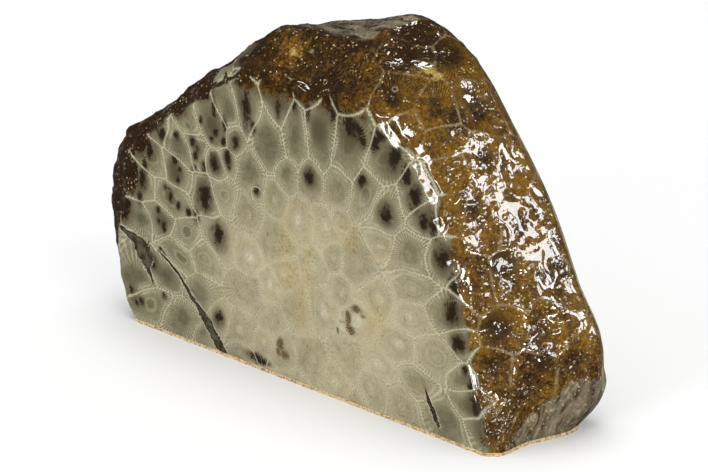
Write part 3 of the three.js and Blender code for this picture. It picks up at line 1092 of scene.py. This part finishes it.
    # Cracks
    offset, width, _ = w.split(w.carried("crack", "Vector"))
    jagged = w.clouds(2.4 * MM, 4, 0.8, skew=0.6) - 0.5
    offset = jagged * w.step(width, 0.1, 0.8, 0.6, 3.0) + offset
    torn = w.clouds(1.1 * MM, 3, 0.6) * 1.2 + 0.4
    opening = width * torn - abs(offset)
    crack = w.step(opening, -0.12, 0.12) * marks
    lip = w.step(opening, -0.7, -0.2) * marks * w.step(fine, 0.35, 0.6, 0.2, 0.8)
    body = w.mix(lip * w.step(width, 0.15, 0.5), body, given["Cream"])
    filling = w.step(opening, 0.25, 0.8) * w.step(mottle, 0.4, 0.6, 0.1, 0.6)
    body = w.mix(crack * 0.97, body, w.mix(filling, given["Stain"], given["Olive"]))
    body = w.shaded(body, w.step(grain, 0.25, 0.75, 0.84, 1.12))
    w.feed(out, {"Color": body, "Roughness": grain * 0.2 + 0.3, "Height": crack * -1.0})
    return tree


def natural_rind_group(cells_tree):
    """The unpolished skin: gold and brown fibres in shallow cups, broken and layered in places."""
    tree, w, given, out = new_group("Natural Rind", dict.fromkeys(RIND_COLOURS, COLOUR), FINISH)
    cell = w.group(cells_tree)
    broken, layered, foot = w.split(w.carried("rind_kind", "Vector"))
    clay, shadow, _ = w.split(w.carried("rind_spots", "Vector"))
    x, _, z = w.split(w.place())
    drift = w.clouds(9 * MM, 4, 0.6)
    mottle = w.clouds(2.4 * MM, 5, 0.7)
    grain = w.clouds(0.8 * MM, 4, 0.8)
    ragged = (mottle - 0.5) * 1.4 + (grain - 0.5)
    # Gold where the fibres are lit through the lacquer, deep brown between them
    # Painted shade: the rind is painted browner towards its top, and a little browner at its very bottom
    high = w.most(w.step(z, 68 * MM, 80 * MM, 0.0, 0.15), w.step(z, 24 * MM, 14 * MM, 0.0, 0.03))
    bright = (drift - 0.5) * 0.8 + (w.blend(0.45, mottle, grain) - high)
    body = w.mix(w.step(bright, 0.33, 0.5), given["Deep"], given["Brown"])
    body = w.mix(w.step(bright, 0.45, 0.66), body, given["Gold"])
    fibre = w.step(cell["Septa"], 0.15, 0.85) * w.step(cell["Reach"], 0.1, 0.7)
    fibre = fibre * w.step(w.clouds(1.3 * MM, 2), 0.35, 0.65)
    body = w.mix(fibre * w.step(x, 0.0, 25 * MM, 0.15, 0.4), body, given["Gold"])
    # Finer fibres in the whole cups at the upper right, twice as many as the septa
    hair = (cell["Septa"] * 2.0 + -1.0) ** 2.0
    combed = w.mix(w.step(hair, 0.15, 0.85), w.mix(0.3, given["Brown"], given["Deep"]), given["Gold"])
    combed = w.shaded(combed, w.step(mottle, 0.3, 0.7, 0.75, 1.25))
    whole = w.step(x, 20 * MM, 34 * MM) * w.step(z, 26 * MM, 40 * MM)
    whole = whole * w.step(cell["Reach"], 0.15, 0.5) * w.step(drift, 0.35, 0.55)
    body = w.mix(whole * 0.75, body, combed)
    # Painted shade: the bottoms of the cups are darkened towards deep brown
    body = w.mix(w.step(cell["Reach"], 0.6, 0.05, 0.0, 0.5), body, given["Deep"])
    # Painted shade in the hollow on top and in cups, with real dark brown patches: the shadow spots turn
    # deep brown, less so low down
    shade_part = w.step(shadow + ragged, -0.2, 0.6, 0.0, w.step(z, 30 * MM, 14 * MM, 0.85, 0.5))
    body = w.mix(shade_part, body, given["Deep"])
    # Soft pale walls, plain on the right side and lost to the left
    wall = w.step((mottle - 0.5) * 0.22 + cell["Wall"], 0.15, 0.01)
    seen = w.step(drift * (24 * MM) + x, 14 * MM, 46 * MM, 0.0, 0.6)
    seen = seen * w.step(w.clouds(3.5 * MM, 3), 0.38, 0.6, 0.1, 1.0)
    body = w.mix(wall * seen, body, w.mix(0.32, given["Gold"], given["Cream"]))
    # Dark broken rind on the left, with pale threads along its slope
    shreds = w.clouds(1.7 * MM, 5, 0.7, w.place((4.0, 1.0, 1.0), math.radians(-38)), 0.8)
    left = w.mix(w.step(shreds, 0.4, 0.6), given["Deep"], given["Broken"])
    left = w.mix(w.step(shreds, 0.55, 0.68, 0.0, 0.5), left, given["Layered"])
    body = w.mix(w.step(mottle * 0.5 + broken, 0.75, 1.1), body, left)
    # Grey layered rind on top
    beds = w.clouds(1.5 * MM, 5, 0.65, w.place((5.0, 1.0, 1.0)), 0.5)
    top = w.mix(w.step(beds, 0.36, 0.6), given["Deep"], given["Layered"])
    body = w.mix(w.step(mottle * 0.5 + layered, 0.55, 0.95), body, top)
    # Smooth grey-brown foot
    sweep = w.clouds(2.2 * MM, 5, 0.6, w.place((1.0, 1.5, 4.0), math.radians(25)), 1.5)
    low = w.mix(w.step(sweep, 0.36, 0.56), given["Broken"], given["Layered"])
    low = w.mix(w.step(sweep, 0.56, 0.7, 0.0, 0.5), low, given["Cream"])
    body = w.mix(w.step(foot + ragged, 0.3, 0.8, 0.0, 0.85), body, low)
    body = w.mix(w.step(clay + ragged, 0.0, 0.6, 0.0, 0.65), body, given["Clay"])
    speckle = (w.step(grain, 0.34, 0.66) - 0.5) * w.step(foot, 0.3, 0.9, 0.9, 0.25)
    body = w.shaded(body, speckle + 1.0)
    # Pale flecks of calcite in clusters, which also serve as painted glints and grow thicker low down, and
    # a few small rings
    tone, away = w.grains(0.65 * MM)
    fleck_and_glint = w.step(tone, 0.72, 0.95) * w.step(away, 0.55, 0.15)
    fleck_and_glint = fleck_and_glint * w.step(w.clouds(4 * MM, 3), 0.42, 0.62, w.step(z, 30 * MM, 14 * MM, 0.1, 0.7), 1.3)
    body = w.mix(fleck_and_glint, body, w.mix(0.5, given["Cream"], given["Clay"]))
    tone, away = w.grains(3.0 * MM)
    away = (grain - 0.5) * 0.25 + away
    ring = w.band(away, 0.18, 0.24, 0.27, 0.34)
    body = w.mix(ring * w.step(tone, 0.965, 0.98, 0.0, 0.3), body, given["Cream"])
    w.feed(out, {
        "Color": body, "Roughness": w.step(grain, 0.2, 0.8, 0.25, 0.5),
        "Height": fibre * 0.12 + (mottle * 0.5 + grain * 0.5),
    })
    return tree


def lacquer_height(w):
    """Beads, drops and ripples of the clear lacquer on the rind."""
    x, y, z = w.split(w.place())
    rough = w.carried("lacquer_pool") * -0.85 + 1.0
    tone, away = w.grains(1.0 * MM)
    small = w.step(tone, 0.45, 0.7) * w.step(away, 0.5, 0.0) * rough
    ripples = w.clouds(2.8 * MM, 1) * (rough * 0.8)
    _, shadow, _ = w.split(w.carried("rind_spots", "Vector"))
    swirls = w.step(shadow, 0.0, 0.5) * w.step(z, 18 * MM, 14 * MM)
    ripples = w.clouds(3.0 * MM, 1, 0.5, skew=2.0) * (swirls * 5.0) + ripples
    centre = w.vector("SUBTRACT", w.place(), tuple(part * MM for part in RIM_DROP))
    blob = w.step(w.length(centre), RIM_DROP_WIDTH * MM, 0.4 * MM)
    tone, away = w.grains(2.4 * MM)
    drop = w.step(tone, 0.55, 0.6) * w.step(away, 0.38, 0.12) * w.step(x, 28 * MM, 42 * MM)
    bead = drop * 1.5 + small * 0.6
    height = bead + (blob * 4.0 + ripples)
    # None on the polished faces or on the chips of the rim
    on_rind = w.step(y, *RIND_EDGE) * w.step(w.carried("polished_back"), 0.6, 0.4)
    past_chips = w.most(w.step(y, -16.4 * MM, -14.5 * MM), w.step(z, 46 * MM, 42 * MM))
    return height * (on_rind * past_chips)


def new_material(name):
    """A new material, the wiring of its nodes and the inputs of its shader."""
    material = bpy.data.materials.new(name)
    material.use_nodes = True
    tree = material.node_tree
    return material, Wiring(tree), tree.nodes["Principled BSDF"].inputs


def colours_of(props, names):
    return {name: getattr(props, name.lower()) for name in names}


def stone_material(props):
    material, w, shader = new_material("polished_coral_and_rind")
    cells = coral_cells_group()
    x, y, _ = w.split(w.place())
    ragged = w.clouds(2 * MM, 4, 0.6) - 0.5
    behind = w.step(ragged * 0.5 + w.carried("polished_back"), 0.4, 0.6)
    polished_values = {**colours_of(props, POLISHED_COLOURS), "Marks": 1.0 - behind}
    front = w.group(polished_coral_group(cells), polished_values)
    rind = w.group(natural_rind_group(cells), colours_of(props, RIND_COLOURS))
    # The rind starts just past the rim, later on the walls than between them, and laps over the face above
    wall = w.group(cells)["Wall"]
    lag = w.step(wall, 0.0, 0.3, 1.3 * MM, 0.0) * w.step(x, -25 * MM, 0.0)
    past_rim = ragged * (1.4 * MM) + y - lag
    tongue = ragged * 1.1 + w.carried("rind_patch")
    tongue = w.step(tongue + w.step(wall, 0.0, 0.3, -0.3, 0.12), 0.0, 0.25)
    skin = w.most(w.step(past_rim, *RIND_EDGE), tongue)
    _, _, bare_spot = w.split(w.carried("rind_spots", "Vector"))
    bare = w.step(ragged * 1.4 + bare_spot, 0.1, 0.3)
    rind_part = skin * (1.0 - w.most(behind, bare))
    # Clear lacquer, thinner on the broken rind and nearly rubbed off the polished faces
    broken, _, _ = w.split(w.carried("rind_kind", "Vector"))
    lacquer = w.step(y, *LACQUER_EDGE, 0.12, 1.0) * w.step(broken, 0.5, 1.0, 1.0, 0.35)
    height = w.blend(rind_part, front["Height"], rind["Height"])
    w.feed(shader, {
        "Base Color": w.mix(rind_part, front["Color"], rind["Color"]),
        "Roughness": w.blend(rind_part, front["Roughness"], rind["Roughness"]),
        "Normal": w.bump(height, GRAIN_DEPTH),
        "Specular IOR Level": 0.08,
        "Coat Weight": lacquer * w.step(behind, 0.0, 1.0, 1.0, 0.15),
        "Coat Roughness": props.gloss_roughness,
        "Coat Normal": w.bump(lacquer_height(w), RIPPLE_DEPTH),
    })
    return material


def cork_material(props):
    material, w, shader = new_material("granular_cork")
    tone, _ = w.grains(0.4 * MM)
    fine = w.clouds(0.3 * MM, 3, 0.7)
    body = w.mix(w.step(tone, 0.0, 0.6), props.dark, props.light)
    body = w.mix(w.step(fine, 0.58, 0.66, 0.0, 0.6), body, props.dark)
    w.feed(shader, {
        "Base Color": w.shaded(body, w.step(fine, 0.2, 0.8, 0.8, 1.15)),
        "Roughness": w.step(fine, 0.2, 0.8, 0.8, 0.95),
        "Normal": w.bump(tone + fine, CORK_DEPTH),
    })
    return material


# ---- Cork sheet ----

# How many times the cut edge is drawn down, so that it can crumble
CORK_STEPS = 4


def foot_outline(stone):
    """The corners of the stone's flat base, in order, in metres."""
    base = max(stone.data.polygons, key=lambda face: len(face.vertices))
    return [stone.data.vertices[index].co.copy() for index in base.vertices]


def cork_mesh(outline, props):
    """A thin sheet cut to the stone's footprint, with a crumbly edge."""
    bm = bmesh.new()
    bm.faces.new([bm.verts.new(corner) for corner in outline])
    bmesh.ops.remove_doubles(bm, verts=bm.verts, dist=0.05 * MM)
    rim = bm.edges[:]
    drop = (0, 0, (CORK_LOW.z - outline[0].z) / CORK_STEPS)
    for _ in range(CORK_STEPS):
        made = bmesh.ops.extrude_edge_only(bm, edges=rim)["geom"]
        rim = [item for item in made if isinstance(item, bmesh.types.BMEdge) and item.is_boundary]
        lower = {vert for edge in rim for vert in edge.verts}
        bmesh.ops.translate(bm, verts=list(lower), vec=drop)
    bmesh.ops.edgeloop_fill(bm, edges=rim)
    bm.normal_update()
    bmesh.ops.recalc_face_normals(bm, faces=bm.faces)
    for vert in bm.verts:
        outward = Vector((vert.normal.x, vert.normal.y, 0)).normalized()
        vert.co += outward * props.crumble * noise.noise(vert.co / (0.9 * MM))
    return finished_mesh(bm, "cork_sheet")


# ---- Making the pieces ----


def new_object(name, data):
    made = bpy.data.objects.new(name, data)
    bpy.context.scene.collection.objects.link(made)
    return made


def add_piece(mesh, material, node):
    piece = new_object(mesh.name, mesh)
    mesh.materials.append(material)
    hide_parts(node)
    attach(piece, "root")


class PETOSKEY_OT_make_stone(bpy.types.Operator):
    """Makes the stone: its form, its cells and marks, and its material"""

    bl_idname = "petoskey.make_stone"
    bl_label = "Make Stone"

    def execute(self, context):
        props = context.scene.petoskey_stone
        mesh = stone_mesh(props)
        add_cells(mesh)
        add_marks(mesh)
        if not mesh.polygons:
            raise RuntimeError("the stone's mesh came out empty")
        add_piece(mesh, stone_material(props), "stone")
        return {"FINISHED"}


class PETOSKEY_OT_make_cork(bpy.types.Operator):
    """Makes the thin cork sheet under the stone"""

    bl_idname = "petoskey.make_cork"
    bl_label = "Make Cork Sheet"

    def execute(self, context):
        props = context.scene.petoskey_cork
        stone = bpy.data.objects.get("polished_stone")
        if stone is None:
            raise RuntimeError("the cork sheet is cut to the stone, so the stone comes first")
        mesh = cork_mesh(foot_outline(stone), props)
        add_piece(mesh, cork_material(props), "cork_pad")
        return {"FINISHED"}


# ---- Stage ----

# The tint of the warm lamp, and how far off the lamps stand from the point they look at, in metres
WARM = (1, 0.93, 0.82)
LAMP_DISTANCE = 2.5
LAMP_TARGET = Vector((0, 0, 0.045))

# The middle of the view, and how far off it the camera looks, in millimetres
VIEW_MIDDLE = Vector((1, -6.05, 45))
VIEW_RIGHT = 4.497
VIEW_DOWN = 7.652


def softbox(name, direction, size, power, distance=LAMP_DISTANCE, lit=True, mirrored=True, tint=(1, 1, 1)):
    """A soft light that looks at the stone. It may light it unseen, or only be mirrored in it."""
    light = bpy.data.lights.new(name, "AREA")
    light.color = tint
    light.shape = "RECTANGLE"
    light.size, light.size_y = size
    light.energy = power
    lamp = new_object(name, light)
    toward = Vector(direction).normalized()
    lamp.location = LAMP_TARGET + toward * distance
    lamp.rotation_euler = toward.to_track_quat("Z", "Y").to_euler()
    lamp.visible_diffuse = lit
    lamp.visible_glossy = mirrored


def make_floor(props):
    bm = bmesh.new()
    bmesh.ops.create_grid(bm, x_segments=1, y_segments=1, size=props.floor_size / 2)
    floor = new_object("floor", finished_mesh(bm, "floor"))
    material, w, shader = new_material("plain_floor")
    w.feed(shader, {
        "Base Color": w.mix(w.mirrored(), props.floor_colour, props.floor_mirrored),
        "Roughness": 0.9,
        "Specular IOR Level": 0.0,
    })
    floor.data.materials.append(material)


def make_camera(props):
    turn, rise = props.camera_turn, props.camera_rise
    back = Vector((math.sin(turn) * math.cos(rise), -math.cos(turn) * math.cos(rise), math.sin(rise)))
    right = Vector((math.cos(turn), math.sin(turn), 0))
    up = back.cross(right)
    middle = VIEW_MIDDLE * MM
    target = middle + right * VIEW_RIGHT * MM - up * VIEW_DOWN * MM
    camera = new_object("camera", bpy.data.cameras.new("camera"))
    camera.data.lens = props.camera_lens
    camera.location = middle + back * props.camera_distance
    camera.rotation_euler = (camera.location - target).to_track_quat("Z", "Y").to_euler()
    bpy.context.scene.camera = camera


def make_sky(scene):
    """An even white surround, dimmer where the stone's gloss mirrors it."""
    world = bpy.data.worlds.new("studio")
    world.use_nodes = True
    w = Wiring(world.node_tree)
    sky = world.node_tree.nodes["Background"]
    w.feed(sky.inputs, {"Color": (1, 1, 1), "Strength": w.step(w.mirrored(), 0.0, 1.0, 0.75, 0.05)})
    scene.world = world


class PETOSKEY_OT_make_stage(bpy.types.Operator):
    """Sets up the pale floor, the soft lights and the camera"""

    bl_idname = "petoskey.make_stage"
    bl_label = "Make Stage"

    def execute(self, context):
        props = context.scene.petoskey_stage
        make_floor(props)
        make_camera(props)
        softbox("front_softbox", (0.1, -0.95, 0.24), (0.8, 0.5), 22)
        softbox("right_softbox", (0.88, 0.18, 0.42), (0.95, 0.9), 48, lit=False)
        softbox("edge_softbox", (0.68, 0.6, 0.33), (0.8, 0.9), 42, lit=False)
        softbox("fill_softbox", (0.9, -0.2, 0.4), (1.8, 1.8), 24, mirrored=False)
        softbox("top_softbox", (0, 0, 1), (2.2, 2.2), 48, distance=3, mirrored=False)
        softbox("side_glint", (0.89, -0.42, 0.06), (0.7, 0.5), 40, lit=False, tint=WARM)
        softbox("top_glint", (-0.3, 0.15, 0.93), (0.3, 0.3), 5, lit=False)
        softbox("rim_glint", (-0.12, -0.9, 0.4), (0.7, 0.7), 34, lit=False)
        make_sky(context.scene)
        context.scene.view_settings.view_transform = "Standard"
        return {"FINISHED"}


# ---- Panel and start ----


class PETOSKEY_PT_panel(bpy.types.Panel):
    """Lists the makers of the stone, its cork sheet and its stage"""

    bl_label = "Petoskey Stone"
    bl_space_type = "VIEW_3D"
    bl_region_type = "UI"
    bl_category = "Stone"

    def draw(self, context):
        for operator, group in (
            ("petoskey.make_stone", context.scene.petoskey_stone),
            ("petoskey.make_cork", context.scene.petoskey_cork),
            ("petoskey.make_stage", context.scene.petoskey_stage),
        ):
            box = self.layout.box()
            box.operator(operator)
            for name in group.bl_rna.properties.keys():
                if name not in ("rna_type", "name"):
                    box.prop(group, name)


GROUPS = {
    "petoskey_stone": StoneProperties, "petoskey_cork": CorkProperties, "petoskey_stage": StageProperties,
}
CLASSES = (
    *GROUPS.values(),
    PETOSKEY_OT_make_stone, PETOSKEY_OT_make_cork, PETOSKEY_OT_make_stage, PETOSKEY_PT_panel,
)


def register():
    for made in CLASSES:
        bpy.utils.register_class(made)
    for name, group in GROUPS.items():
        setattr(bpy.types.Scene, name, PointerProperty(type=group))


def unregister():
    for name in GROUPS:
        delattr(bpy.types.Scene, name)
    for made in reversed(CLASSES):
        bpy.utils.unregister_class(made)


def main():
    register()
    bpy.ops.petoskey.make_stage()
    bpy.ops.petoskey.make_stone()
    bpy.ops.petoskey.make_cork()


if __name__ == "__main__":
    main()
